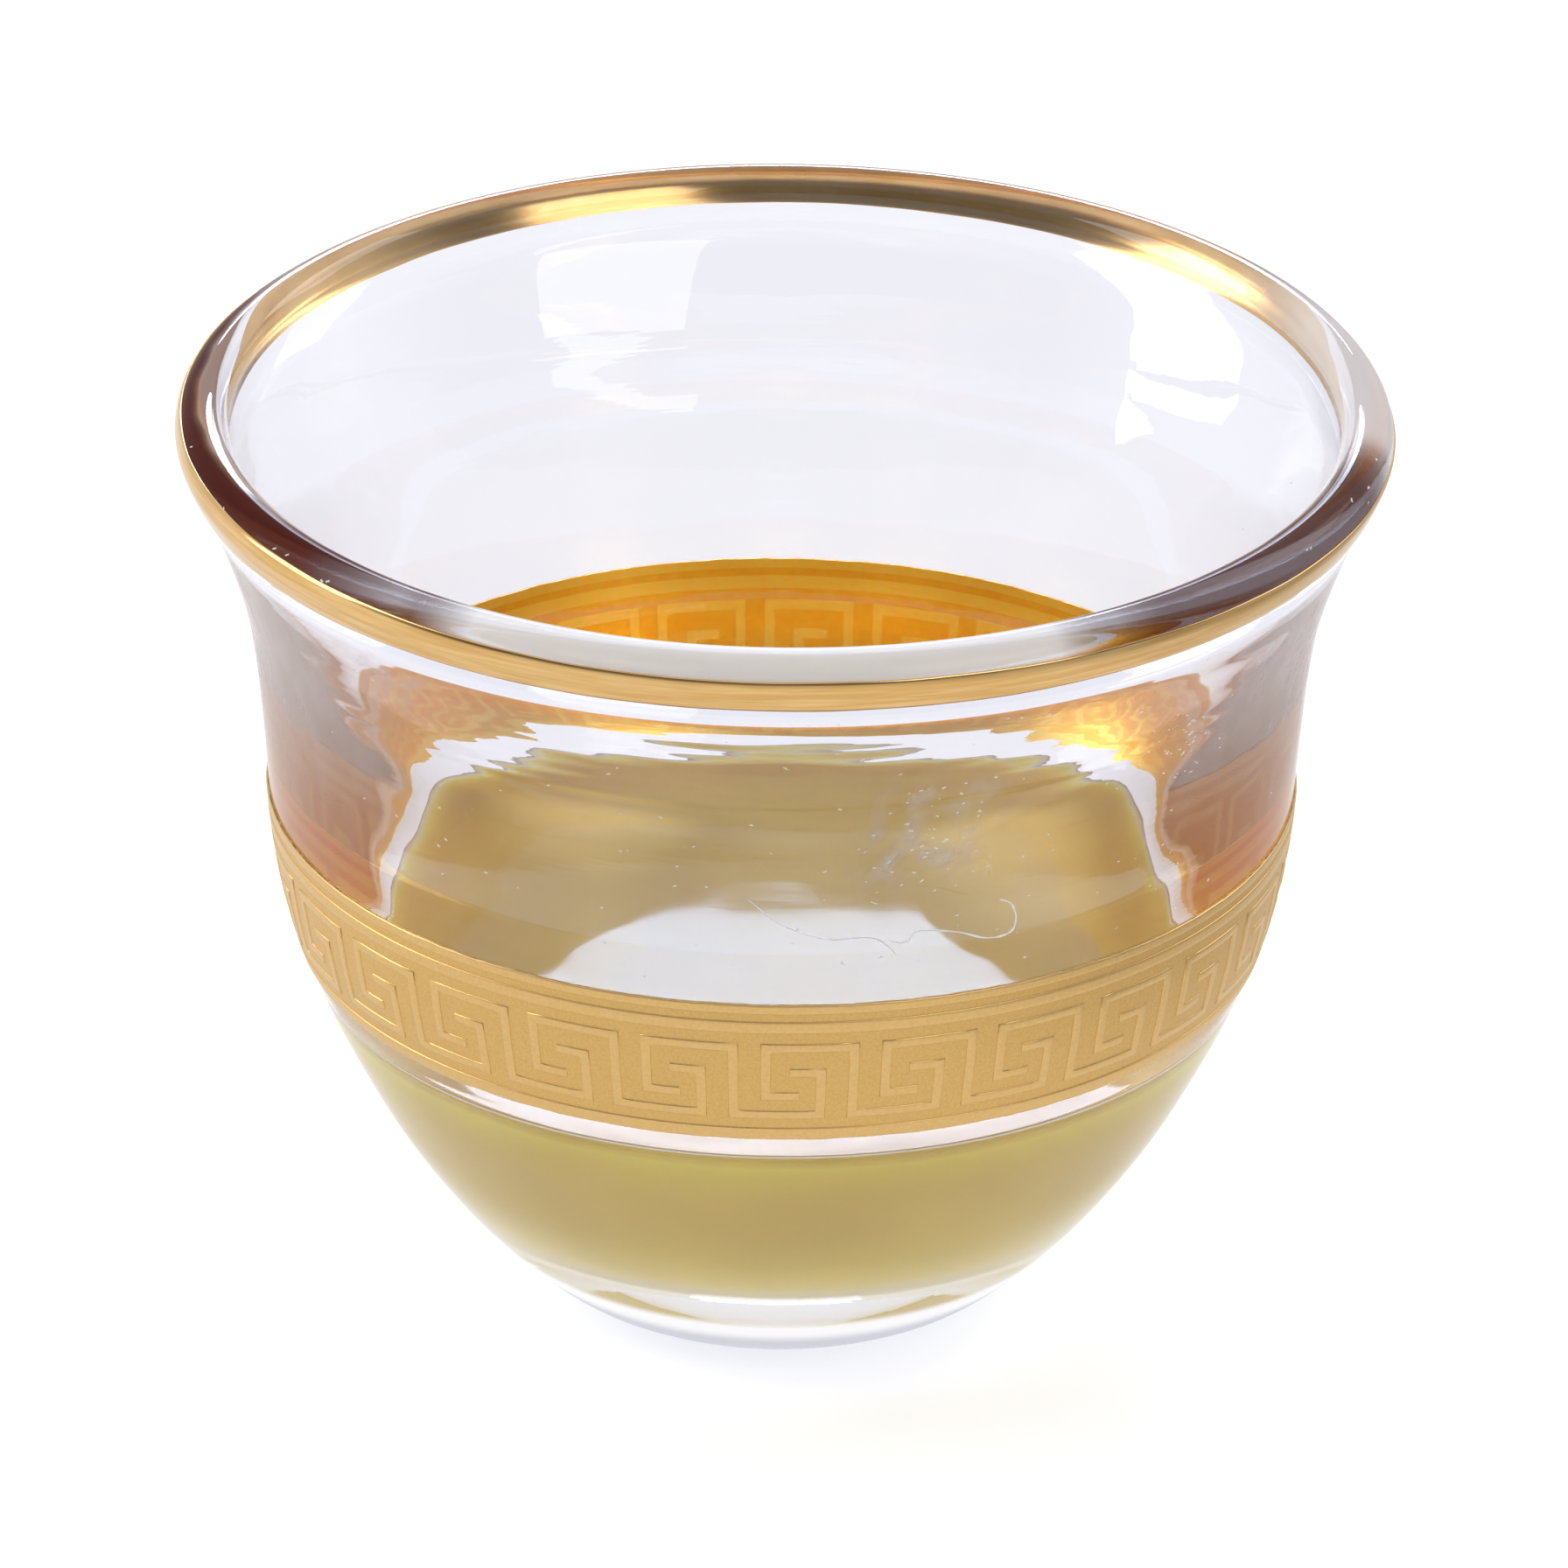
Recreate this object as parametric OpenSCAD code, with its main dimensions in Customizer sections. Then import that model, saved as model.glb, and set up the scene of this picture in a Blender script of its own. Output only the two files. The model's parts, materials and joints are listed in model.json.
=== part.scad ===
// Small handle-less glass cup for Arabic coffee, with gilded rim and a raised key band.
// Lengths in millimetres. +Z is up, the cup stands on Z = 0, its axis is the Z axis.

/* [Cup] */
// Height from the table to the top of the lip
cup_height = 51; // [44:0.5:60]
// Outer diameter over the widest part of the lip
rim_diameter = 64; // [56:0.5:74]
// Thickness of the rounded lip
lip_thickness = 2.8; // [2.2:0.1:3.4]
// Thickness of the side wall behind the band, where it is thickest
side_wall = 3.1; // [2.6:0.1:3.6]
// Glass left under the middle of the cavity
floor_thickness = 7; // [5.5:0.1:8]
// Height over the table where the cavity's bowl meets the side wall
cavity_bowl_height = 14.4; // [11:0.2:18]

/* [Foot] */
// Diameter of the shallow hollow under the foot
foot_hollow_diameter = 15; // [11:0.5:17]
// Depth of that hollow
foot_hollow_depth = 0.6; // [0.3:0.1:1.2]

/* [Rim gilding] */
// Height of the gold on the outside of the lip, below its widest line
rim_gold_drop = 1.6; // [1:0.1:2.4]
// Angle by which the gold climbs over the widest line
rim_gold_climb = 10; // [4:1:25]

/* [Gilded band] */
// Height of the lower edge of the band over the table
band_bottom = 20.6; // [18:0.1:23]
// Height of the band
band_height = 8.6; // [7.2:0.1:10]
// Thickness of the fired gold layer
gold_thickness = 0.1; // [0.06:0.01:0.2]
// Height of the raised pattern over the gold ground
relief_height = 0.1; // [0.06:0.01:0.2]
// Height of the thin line along the upper edge
edge_line_height = 0.55; // [0.4:0.05:0.8]
// Clear height between the edge line and the line under it
line_gap = 0.45; // [0.3:0.05:0.6]
// Height of the second line of the upper border
upper_line_height = 0.7; // [0.5:0.05:0.9]
// Height of the line along the lower edge
lower_line_height = 0.8; // [0.5:0.05:1]

/* [Keys] */
// Number of keys round the cup
key_count = 27; // [22:1:30]
// Angle of the first key from the front, positive to the right
first_key_angle = -5; // [-12:1:12]
// Width of a key's line
key_line = 0.5; // [0.35:0.05:0.6]
// Clear height between the keys and the border lines
key_clearance = 0.65; // [0.4:0.05:0.9]

/* [Hidden] */
$fn = 96;
glass_colour = [0.86, 0.89, 0.93, 0.45];
gold_colour = [0.84, 0.64, 0.30];
line_colour = [0.93, 0.76, 0.42];
ground_colour = [0.74, 0.54, 0.24];

// Lip: a half-round bead whose ends run into the two walls at these angles
rim_radius = rim_diameter / 2;
lip_radius = lip_thickness / 2;
lip_axis_radius = rim_radius - lip_radius;
lip_height = cup_height - lip_radius;
outer_blend = 20;
inner_blend = 15;
lip_steps = 14;
wall_top = lip_height - lip_radius * sin(outer_blend);
wall_top_radius = lip_axis_radius + lip_radius * cos(outer_blend);

// Outer form: [share of wall_top, share of rim_radius], from the foot up
outer_shares = [[0, 0.338], [0.032, 0.42], [0.097, 0.522], [0.162, 0.601], [0.227, 0.666],
                [0.293, 0.72], [0.358, 0.767], [0.423, 0.805], [0.489, 0.832], [0.554, 0.848],
                [0.619, 0.856], [0.684, 0.864], [0.749, 0.874], [0.814, 0.89], [0.879, 0.919],
                [0.944, 0.957]];
outer_points = concat([for (s = outer_shares) [s[0] * wall_top, s[1] * rim_radius]],
                      [[wall_top, wall_top_radius]]);
last_point = len(outer_points) - 1;

// Cavity bowl: [share of its height over the floor, share of its radius at the top]
cavity_shares = [[0, 0], [0.006, 0.2], [0.028, 0.38], [0.082, 0.56], [0.19, 0.73],
                 [0.4, 0.865], [0.7, 0.95]];
cavity_steps = 5;

// Wall over the bowl: shares of side_wall, at even steps from the bowl up to the lip
wall_shares = [0.66, 0.58, 0.9, 1, 0.86, 0.68, 0.52, 0.8];
wall_rows = len(wall_shares) - 1;

// Radius of the outside at any height: a smooth curve through the outer points
function span_of(z, k = 0) =
    (k >= last_point - 1 || z <= outer_points[k + 1][0]) ? k : span_of(z, k + 1);
function rise(a, b) = (outer_points[b][1] - outer_points[a][1])
                    / (outer_points[b][0] - outer_points[a][0]);
function slope_at(k) = k == 0 ? rise(0, 1)
                     : k == last_point ? tan(outer_blend)
                     : rise(k - 1, k + 1);
function outer_radius(z) =
    let (k = span_of(z),
         h = outer_points[k + 1][0] - outer_points[k][0],
         t = (z - outer_points[k][0]) / h)
    (2 * t * t * t - 3 * t * t + 1) * outer_points[k][1]
    + (t * t * t - 2 * t * t + t) * h * slope_at(k)
    + (3 * t * t - 2 * t * t * t) * outer_points[k + 1][1]
    + (t * t * t - t * t) * h * slope_at(k + 1);

// Point [radius, height] that lies t outside the glass at height z
slope_step = wall_top / 500;
function lean(z) = (outer_radius(min(z + slope_step, wall_top)) - outer_radius(z - slope_step))
                 / (min(z + slope_step, wall_top) - z + slope_step);
function skin_point(z, t) =
    [outer_radius(z) + t / sqrt(1 + lean(z) * lean(z)),
     z - t * lean(z) / sqrt(1 + lean(z) * lean(z))];
function lip_point(angle, t) =
    [lip_axis_radius + (lip_radius + t) * cos(angle), lip_height + (lip_radius + t) * sin(angle)];

// n + 1 heights from z0 to z1
function rows(z0, z1, n) = [for (i = [0 : n]) z0 + (z1 - z0) * i / n];

// Smooth curve through points, cavity_steps pieces to a span
function blend(a, b, c, d, t) =
    0.5 * (2 * b + (c - a) * t + (2 * a - 5 * b + 4 * c - d) * t * t
           + (3 * b - a - 3 * c + d) * t * t * t);
function smooth_curve(p) =
    [for (i = [0 : len(p) - 2], s = [0 : cavity_steps - 1])
        blend(i == 0 ? 2 * p[0] - p[1] : p[i - 1], p[i], p[i + 1],
              i == len(p) - 2 ? 2 * p[i + 1] - p[i] : p[i + 2], s / cavity_steps)];

// Band lines, from the top down
band_top = band_bottom + band_height;
band_rows = 6;
upper_line_top = band_top - edge_line_height - line_gap;
upper_line_bottom = upper_line_top - upper_line_height;
lower_line_top = band_bottom + lower_line_height;
key_top = upper_line_bottom - key_clearance;
key_bottom = lower_line_top + key_clearance;
rim_gold_bottom = lip_height - rim_gold_drop;
rim_gold_rows = 2;

// Cavity outline from the floor's middle up to the lip
cavity_top_radius = outer_radius(cavity_bowl_height) - side_wall * wall_shares[0];
lip_inner_point = lip_point(180 - inner_blend, 0);
wall_heights = rows(cavity_bowl_height, lip_height - lip_thickness, wall_rows);
cavity_points = concat(
    [for (s = cavity_shares)
        [s[1] * cavity_top_radius,
         floor_thickness + s[0] * (cavity_bowl_height - floor_thickness)]],
    [for (i = [0 : wall_rows])
        [outer_radius(wall_heights[i]) - side_wall * wall_shares[i], wall_heights[i]]],
    [lip_inner_point]);

// Outside heights; the band's and the rim gold's edges are among them
outside_heights = concat(rows(0, band_bottom, 12),
                         [for (z = rows(band_bottom, band_top, band_rows)) if (z > band_bottom) z],
                         [for (z = rows(band_top, rim_gold_bottom, 12)) if (z > band_top) z]);
rim_gold_heights = rows(rim_gold_bottom, wall_top, rim_gold_rows);
outside_points = concat([for (z = outside_heights) [outer_radius(z), z]],
                        [for (z = rim_gold_heights)
                            if (z > rim_gold_bottom && z < wall_top) [outer_radius(z), z]]);
lip_arc = concat([for (a = rows(-outer_blend, rim_gold_climb, 4)) lip_point(a, 0)],
                 [for (a = rows(rim_gold_climb, 180 - inner_blend, lip_steps))
                     if (a > rim_gold_climb) lip_point(a, 0)]);

// Hollow under the foot: a shallow spherical cap
hollow_radius = foot_hollow_diameter / 2;
hollow_ball = (hollow_radius * hollow_radius + foot_hollow_depth * foot_hollow_depth)
            / (2 * foot_hollow_depth);

// A gold layer from z0 to z1 that starts t0 and ends t1 outside the glass
module gold_ring(z0, z1, t0, t1, n) {
    heights = rows(z0, z1, n);
    rotate_extrude()
        polygon(concat([for (z = heights) skin_point(z, t0)],
                       [for (i = [n : -1 : 0]) skin_point(heights[i], t1)]));
}

// The glass: one pressed and fire-polished piece
module glass_body() {
    color(glass_colour)
        difference() {
            rotate_extrude()
                polygon(concat([[0, 0]], outside_points, lip_arc,
                               [for (i = [0 : len(smooth_curve(cavity_points)) - 1])
                                   let (c = smooth_curve(cavity_points))
                                   c[len(c) - 1 - i]]));
            translate([0, 0, foot_hollow_depth - hollow_ball])
                sphere(hollow_ball);
        }
}

// Gold fired on the outside of the lip
module rim_gilding() {
    angles = rows(-outer_blend, rim_gold_climb, 4);
    color(gold_colour)
        rotate_extrude()
            polygon(concat([for (z = rim_gold_heights) if (z < wall_top) skin_point(z, 0)],
                           [for (a = angles) lip_point(a, 0)],
                           [for (i = [len(angles) - 1 : -1 : 0])
                               lip_point(angles[i], gold_thickness)],
                           [for (i = [rim_gold_rows - 1 : -1 : 0])
                               skin_point(rim_gold_heights[i], gold_thickness)]));
}

// Matt gold ground of the band
module band_ground() {
    color(ground_colour)
        gold_ring(band_bottom, band_top, 0, gold_thickness, band_rows);
}

// Thin edge line and the broader line under it
module upper_border_lines() {
    color(line_colour) {
        gold_ring(band_top - edge_line_height, band_top,
                  gold_thickness, gold_thickness + relief_height, 1);
        gold_ring(upper_line_bottom, upper_line_top,
                  gold_thickness, gold_thickness + relief_height, 1);
    }
}

// Line along the lower edge
module lower_border_line() {
    color(line_colour)
        gold_ring(band_bottom, lower_line_top,
                  gold_thickness, gold_thickness + relief_height, 1);
}

// One key is a line that turns in at both ends. Reach and return are shares of the pitch,
// the hooks' heights are shares of the key height.
hook_reach_share = 0.73;
lower_hook_share = 0.64;
lower_return_share = 0.51;
upper_hook_share = 0.29;
upper_return_share = 0.49;
key_pitch = 360 / key_count;
key_height = key_top - key_bottom;
function key_z(v) = key_bottom + key_line / 2 + v * (key_height - key_line);
function key_x(u, z) = outer_radius(z) * sin(u * key_pitch);

// Straight piece of a key's line; u runs round the cup and v up the band
module upright(u, v0, v1) {
    z0 = key_z(v0) - key_line / 2;
    z1 = key_z(v1) + key_line / 2;
    polygon([[key_x(u, z0) - key_line / 2, z0], [key_x(u, z0) + key_line / 2, z0],
             [key_x(u, z1) + key_line / 2, z1], [key_x(u, z1) - key_line / 2, z1]]);
}
module bar(u0, u1, v) {
    z0 = key_z(v) - key_line / 2;
    z1 = key_z(v) + key_line / 2;
    polygon([[key_x(u0, z0) - key_line / 2, z0], [key_x(u1, z0) + key_line / 2, z0],
             [key_x(u1, z1) + key_line / 2, z1], [key_x(u0, z1) - key_line / 2, z1]]);
}
module key_outline() {
    upright(0, 0, 1);
    bar(0, hook_reach_share, 0);
    upright(hook_reach_share, 0, lower_hook_share);
    bar(lower_return_share, hook_reach_share, lower_hook_share);
    bar(-hook_reach_share, 0, 1);
    upright(-hook_reach_share, upper_hook_share, 1);
    bar(-hook_reach_share, -upper_return_share, upper_hook_share);
}

// Keys cut from a raised ring by prisms that point at the cup's axis
prism_start = rim_radius * 0.6;
prism_length = rim_radius * 0.5;
module key_meander() {
    color(line_colour)
        intersection() {
            gold_ring(key_bottom - line_gap / 2, key_top + line_gap / 2,
                      gold_thickness, gold_thickness + relief_height, 2);
            union() {
                for (i = [0 : key_count - 1])
                    rotate([0, 0, first_key_angle + i * key_pitch])
                        translate([0, -prism_start, 0])
                            rotate([90, 0, 0])
                                linear_extrude(prism_length)
                                    key_outline();
            }
        }
}

glass_body();
rim_gilding();
band_ground();
upper_border_lines();
lower_border_line();
key_meander();
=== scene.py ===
import json
import math
import random

import bmesh
import bpy
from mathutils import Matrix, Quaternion, Vector, noise

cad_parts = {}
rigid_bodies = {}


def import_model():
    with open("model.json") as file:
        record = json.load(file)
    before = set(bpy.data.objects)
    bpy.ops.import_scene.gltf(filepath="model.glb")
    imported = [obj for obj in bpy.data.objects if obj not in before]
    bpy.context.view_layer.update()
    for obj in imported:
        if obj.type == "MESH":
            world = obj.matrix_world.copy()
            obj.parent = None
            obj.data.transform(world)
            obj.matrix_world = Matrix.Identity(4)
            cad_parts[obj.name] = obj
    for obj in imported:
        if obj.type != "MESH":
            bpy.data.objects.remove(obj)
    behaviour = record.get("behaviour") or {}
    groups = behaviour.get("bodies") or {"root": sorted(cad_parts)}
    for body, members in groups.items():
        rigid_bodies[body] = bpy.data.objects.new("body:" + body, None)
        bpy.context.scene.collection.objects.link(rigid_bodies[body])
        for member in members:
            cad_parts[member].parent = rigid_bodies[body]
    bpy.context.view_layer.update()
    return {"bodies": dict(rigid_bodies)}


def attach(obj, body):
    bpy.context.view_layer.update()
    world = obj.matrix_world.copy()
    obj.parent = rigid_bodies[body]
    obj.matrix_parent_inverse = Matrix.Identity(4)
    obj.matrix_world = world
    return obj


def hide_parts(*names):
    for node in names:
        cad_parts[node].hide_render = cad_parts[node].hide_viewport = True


print("Coffee cup: loading the frame")
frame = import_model()
mm = 0.001                       # the pieces are laid out in millimetres
bodyName = list(frame["bodies"])[0]


def hexToLinear(code):
    parts = [int(code[i:i + 2], 16) / 255 for i in (1, 3, 5)]
    return tuple(c / 12.92 if c <= 0.04045 else ((c + 0.055) / 1.055) ** 2.4
                 for c in parts) + (1.0,)


# a setting is a socket's value or else one of the node's own options; a link names its source
def addNode(tree, kind, settings=None, links=None):
    made = tree.nodes.new(kind)
    for name, value in (settings or {}).items():
        if isinstance(name, int) or name in made.inputs:
            made.inputs[name].default_value = value
        else:
            setattr(made, name, value)
    for name, source in (links or {}).items():
        tree.links.new(source, made.inputs[name])
    return made


def startMaterial(name):
    material = bpy.data.materials.new(name)
    material.use_nodes = True
    tree = material.node_tree
    return material, tree, tree.nodes["Principled BSDF"]


# 0 below low, 1 above high
def rising(value, low, high):
    return min(1.0, max(0.0, (value - low) / (high - low)))


# 1 below low, 0 above high
def falling(value, low, high):
    return rising(-value, -high, -low)


# marks are where it starts, is full from, is full to, and ends
def between(value, marks):
    return rising(value, marks[0], marks[1]) * falling(value, marks[2], marks[3])


def rowsBetween(low, high, count):
    return [low + (high - low) * i / count for i in range(count + 1)]


# a point on a circle, with the angle in degrees from the cup's front, positive to the right
def onCircle(radius, angle):
    a = math.radians(angle)
    return radius * math.sin(a), -radius * math.cos(a)


# a smooth curve through all the points, with steps parts between each two
def smoothCurve(points, steps):
    padded = ([[2 * a - b for a, b in zip(points[0], points[1])]] + [list(p) for p in points]
              + [[2 * a - b for a, b in zip(points[-1], points[-2])]])
    made = []
    for i in range(1, len(padded) - 2):
        a, b, c, d = padded[i - 1:i + 3]
        for k in range(steps):
            t = k / steps
            made.append(tuple(0.5 * (2 * q + (r - p) * t + (2 * p - 5 * q + 4 * r - s) * t * t
                                     + (3 * q - p - 3 * r + s) * t ** 3)
                              for p, q, r, s in zip(a, b, c, d)))
    made.append(tuple(points[-1]))
    return made


# turns an outline of (radius, height) points round the cup's axis
def lathe(outline, closed, segments, shift=None):
    points, faces = [], []
    count = len(outline)
    for k in range(segments):
        angle = 360 * k / segments
        for i, (radius, height) in enumerate(outline):
            if shift:
                radius, height = shift(i, angle, radius, height)
            x, y = onCircle(radius, angle)
            points.append((x, y, height))
    for k in range(segments):
        after = (k + 1) % segments
        for i in range(count if closed else count - 1):
            j = (i + 1) % count
            faces.append([k * count + i, after * count + i, after * count + j, k * count + j])
    return points, faces


def meshPiece(name, points, faces, materials, node=None, sharpFrom=None):
    mesh = bpy.data.meshes.new(name)
    mesh.from_pydata([(x * mm, y * mm, z * mm) for x, y, z in points], [], faces)
    work = bmesh.new()
    work.from_mesh(mesh)
    bmesh.ops.remove_doubles(work, verts=work.verts, dist=0.0005 * mm)
    bmesh.ops.recalc_face_normals(work, faces=work.faces)
    for face in work.faces:
        face.smooth = True
    work.to_mesh(mesh)
    work.free()
    if sharpFrom:
        mesh.set_sharp_from_angle(angle=math.radians(sharpFrom))
    piece = bpy.data.objects.new(name, mesh)
    bpy.context.scene.collection.objects.link(piece)
    for material in materials:
        mesh.materials.append(material)
    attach(piece, bodyName)
    if node:
        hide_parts(node)
    return piece


# faces that look into the glass get the second material, the gold from its glass side
def goldFromInside(piece, facing):
    for face in piece.data.polygons:
        outward = Vector((face.center.x, face.center.y, 0)).normalized()
        if face.normal.dot(outward) < facing:
            face.material_index = 1


# the cup's form, as in the part's source
cup = {
    "height": 51.0,
    "rimDiameter": 64.0,
    "lipThickness": 2.8,
    "outerBlend": 20.0,          # degrees at which the lip runs into the outside
    # outside of the wall: (share of its height, share of the rim's radius)
    "outerShares": [(0, 0.338), (0.032, 0.42), (0.097, 0.522), (0.162, 0.601), (0.227, 0.666),
                    (0.293, 0.72), (0.358, 0.767), (0.423, 0.805), (0.489, 0.832),
                    (0.554, 0.848), (0.619, 0.856), (0.684, 0.864), (0.749, 0.874),
                    (0.814, 0.89), (0.879, 0.919), (0.944, 0.957)],
    "hollowDiameter": 15.0,      # the shallow hollow under the foot
    "hollowDepth": 0.6,
    "footEdge": 0.35,            # rounding where the foot meets the side
    # inside of the glass, (height, radius) from the lip down to the floor
    "inside": [(49.96, 29.25), (49.4, 29.25), (48.8, 29.29), (48.0, 29.32), (47.2, 29.31),
               (46.6, 29.21), (46.1, 29.03), (45.6, 28.83), (44.8, 28.5), (44.0, 28.185),
               (43.2, 27.88), (42.4, 27.575), (41.6, 27.28), (41.0, 27.07), (40.0, 26.73),
               (36.8, 25.76), (33.6, 24.95), (30.4, 24.35), (27.2, 23.87), (24.0, 23.74),
               (20.8, 23.66), (18.3, 23.12), (15.0, 21.45), (12.2, 19.9), (9.96, 18.16),
               (8.41, 15.33), (7.61, 11.76), (7.21, 7.98), (7.04, 4.2), (7.0, 0.0)],
    # round the back the wall under the lip stayed thicker
    "insideBack": [(49.96, 29.25), (49.3, 29.2), (48.4, 29.06), (47.2, 28.78), (46.0, 28.46),
                   (44.8, 28.12), (43.2, 27.68), (41.6, 27.23), (40.0, 26.74), (36.8, 25.76)],
    "curveSteps": 6,
    "segments": 288,
}
lipRadius = cup["lipThickness"] / 2
lipAxis = cup["rimDiameter"] / 2 - lipRadius
lipHeight = cup["height"] - lipRadius
wallTop = lipHeight - lipRadius * math.sin(math.radians(cup["outerBlend"]))
outerPoints = [(s * wallTop, r * cup["rimDiameter"] / 2) for s, r in cup["outerShares"]]
outerPoints.append((wallTop, lipAxis + lipRadius * math.cos(math.radians(cup["outerBlend"]))))
outerSlopes = []
for i in range(len(outerPoints)):
    (z0, r0), (z1, r1) = outerPoints[max(i - 1, 0)], outerPoints[min(i + 1, len(outerPoints) - 1)]
    outerSlopes.append((r1 - r0) / (z1 - z0))
outerSlopes[-1] = math.tan(math.radians(cup["outerBlend"]))


def outerRadius(z):
    z = min(max(z, 0.0), wallTop)
    k = 0
    while k < len(outerPoints) - 2 and z > outerPoints[k + 1][0]:
        k += 1
    (z0, r0), (z1, r1) = outerPoints[k], outerPoints[k + 1]
    h = z1 - z0
    t = (z - z0) / h
    return ((2 * t ** 3 - 3 * t ** 2 + 1) * r0 + (t ** 3 - 2 * t ** 2 + t) * h * outerSlopes[k]
            + (3 * t ** 2 - 2 * t ** 3) * r1 + (t ** 3 - t ** 2) * h * outerSlopes[k + 1])


# (radius, height) on the lip's round, out above the glass; 0 degrees is level, outwards
def lipPoint(angle, out=0.0):
    a = math.radians(angle)
    return (lipAxis + (lipRadius + out) * math.cos(a),
            lipHeight + (lipRadius + out) * math.sin(a))


# (radius, height) of a point that lies out above the glass at height z
def skinPoint(z, out):
    if z > wallTop:
        return lipPoint(math.degrees(math.asin(min(1.0, (z - lipHeight) / lipRadius))), out)
    step = 0.1
    lean = (outerRadius(z + step) - outerRadius(z - step)) / (
        min(z + step, wallTop) - max(z - step, 0))
    size = math.sqrt(1 + lean * lean)
    return outerRadius(z) + out / size, z - out * lean / size


insideCurve = smoothCurve(cup["inside"], cup["curveSteps"])
backCurve = smoothCurve(cup["insideBack"], cup["curveSteps"])


def radiusOn(curve, z):
    for (z0, r0), (z1, r1) in zip(curve, curve[1:]):
        if z1 <= z <= z0:
            return r0 + (r1 - r0) * (z0 - z) / max(z0 - z1, 1e-9)
    return 0.0


def backShift(turn, z):
    share = rising(turn, 86, 116)
    if share == 0 or z < 37 or z > 49.9:
        return 0.0
    return share * share * (3 - 2 * share) * (radiusOn(backCurve, z) - radiusOn(insideCurve, z))


# unevenness of the inside, each as (depth, length) in mm
waves = {
    "pressed": (0.05, 9.0),      # slow swells from the mould
    "ripple": (0.016, 2.4),
    "drawn": (0.022, 1.3),       # lines drawn round the wall as the glass turned
    "fineDrawn": (0.012, 0.55),
    # where each starts, is full from, is full to, and ends, in mm of height
    "pressedMm": (6, 14, 40, 46),
    "underLipMm": (39.8, 41.4, 45.5, 47),
    "underBandMm": (17, 18, 21, 22),
    "calmFront": 0.93,
}


# how far the inside stands off its plain curve
def insideWave(angle, z):
    x, y = onCircle(25.0, angle)
    turn = abs((angle + 180) % 360 - 180)
    swell = Vector((x, y, z * 0.8))
    pressed = between(z, waves["pressedMm"])
    # the front under the middle of the wall is calmer, as its mirror image on the coffee shows
    pressed *= 1 - waves["calmFront"] * falling(z, 37, 40) * falling(turn, 34, 48)
    upper = between(z, waves["underLipMm"]) * falling(turn, 130, 150)
    front = falling(turn, 26, 38) * rising(z, 40.5, 42)
    lower = between(z, waves["underBandMm"])
    depths = [pressed, pressed, max(upper * (1 - 0.55 * front), 2.0 * lower),
              max(upper * front * 0.6, 2.4 * lower)]
    grains = [swell, swell, Vector((x * 0.2, y * 0.2, z)), Vector((x * 0.14, y * 0.14, z))]
    made = backShift(turn, z)
    for share, grain, name in zip(depths, grains, ("pressed", "ripple", "drawn", "fineDrawn")):
        depth, length = waves[name]
        made += share * depth * noise.noise(grain / length)
    return made


# Soda-lime glass, pressed and fire-polished: clear, faintly cool, with soft lines round the cup
glassLook = {
    "tint": "#fcfcff",
    "ior": 1.52,
    "streakHeightMm": 0.5,       # height of one drawn streak
    "streakDepthMm": 0.0016,
    "gathered": "#8c6a54",       # light that has gone round in the wall many times
    "gatheredInLip": "#4c2a18",
    "lipMm": (44.5, 48.5),       # heights over which the wall passes into the lip
    "haze": 0.9,                 # share of ground surface on the foot
    "hazeEndMm": (4.1, 5.0),
    "hazeColour": "#f2f2fa",
    "hazeGlow": ("#c8cad6", "#fbfbff"),
    "hazeGlowMm": (2.2, 3.6),    # heights over which the painted glow turns paler
    "paintedGoldReflection": "#2a0a02",         # painted reflection: the gold seen through the lip, drawn as a brown tint
    # its painted orange sheen, and the painted brown of the layer over it
    "paintedGoldReflectionSheen": "#a8582c",
    "paintedGoldReflectionBody": "#521200",
    "layerWithPaintedLight": "#d4c8c4",           # faint grey layer on the sides of the wall and in the smears
    # painted light: the clear lip drawn pale white
    "paintedLipWhite": "#fffefc",
}


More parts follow.
